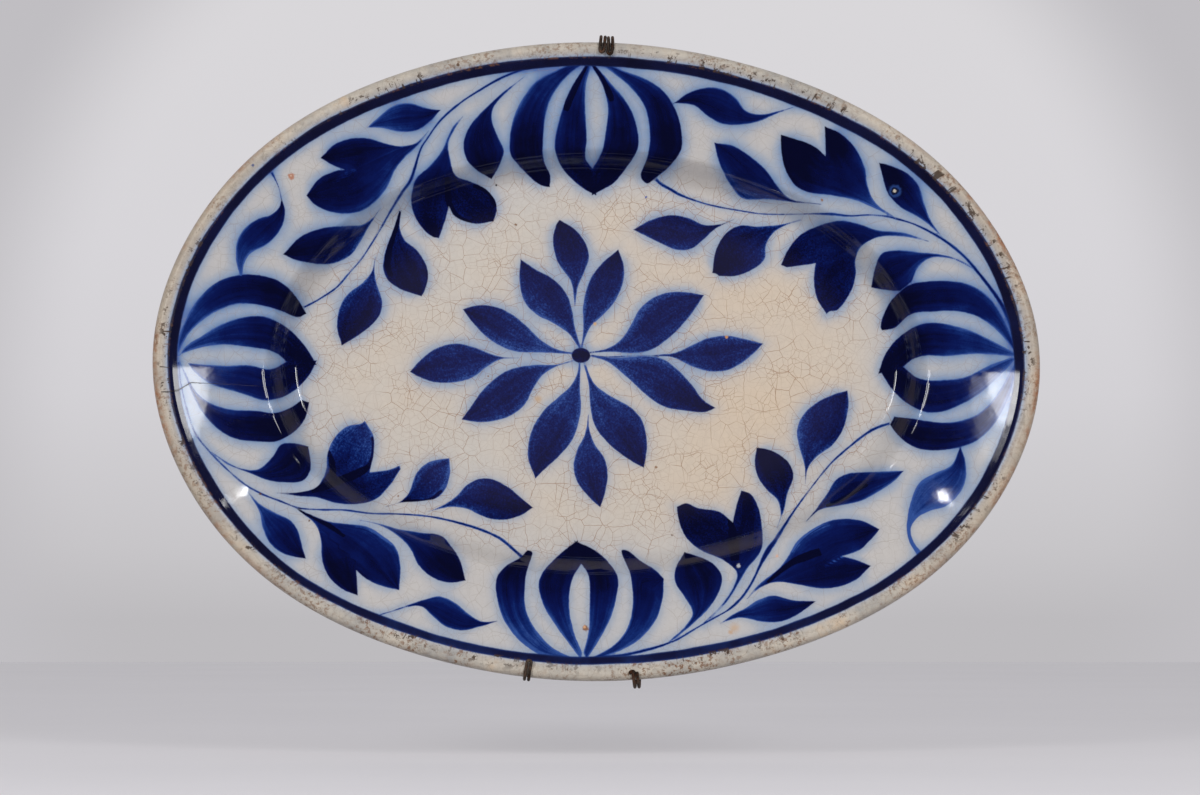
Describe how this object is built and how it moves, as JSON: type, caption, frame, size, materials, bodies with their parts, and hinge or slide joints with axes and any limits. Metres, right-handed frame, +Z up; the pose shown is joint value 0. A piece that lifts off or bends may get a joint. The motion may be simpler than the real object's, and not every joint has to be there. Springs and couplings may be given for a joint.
{
  "type": "oval serving platter",
  "caption": "Oval serving platter with a sloping rim and a flat well, gripped by a sprung wire hanger whose hooks reach over the rim.",
  "frame": {"origin": "where the nail bears, at the top inside of the hanging link behind the platter", "axes": "+X along the platter's long axis to the right as seen from the painted face, -Y out of the painted face, +Z up the wall"},
  "size_m": [0.3757, 0.0427, 0.2778],
  "materials": {
    "glazed_earthenware": "glossy crazed tin glaze with cobalt-blue brush painting",
    "rusty_wire": "old iron wire, dull brown-grey and lightly rusted"
  },
  "bodies": {
    "platter_on_link": {"platter": "glazed_earthenware", "hanging_link": "rusty_wire", "top_hook_left": "rusty_wire", "top_hook_right": "rusty_wire", "spring_left": "rusty_wire", "spring_right": "rusty_wire"},
    "bottom_hook_left": {"bottom_hook_left": "rusty_wire"},
    "bottom_hook_right": {"bottom_hook_right": "rusty_wire"}
  },
  "joints": [
    {"name": "bottom_hook_left_pull", "type": "slide", "parent": "platter_on_link", "child": "bottom_hook_left", "axis": [-0.1373, 0, -0.9905], "range_m": [0, 0.012], "stiffness_N_per_m": 500, "springref_m": -0.02, "deforming": ["spring_left"]},
    {"name": "bottom_hook_right_pull", "type": "slide", "parent": "platter_on_link", "child": "bottom_hook_right", "axis": [0.0451, 0, -0.999], "range_m": [0, 0.012], "stiffness_N_per_m": 500, "springref_m": -0.02, "deforming": ["spring_right"]}
  ]
}
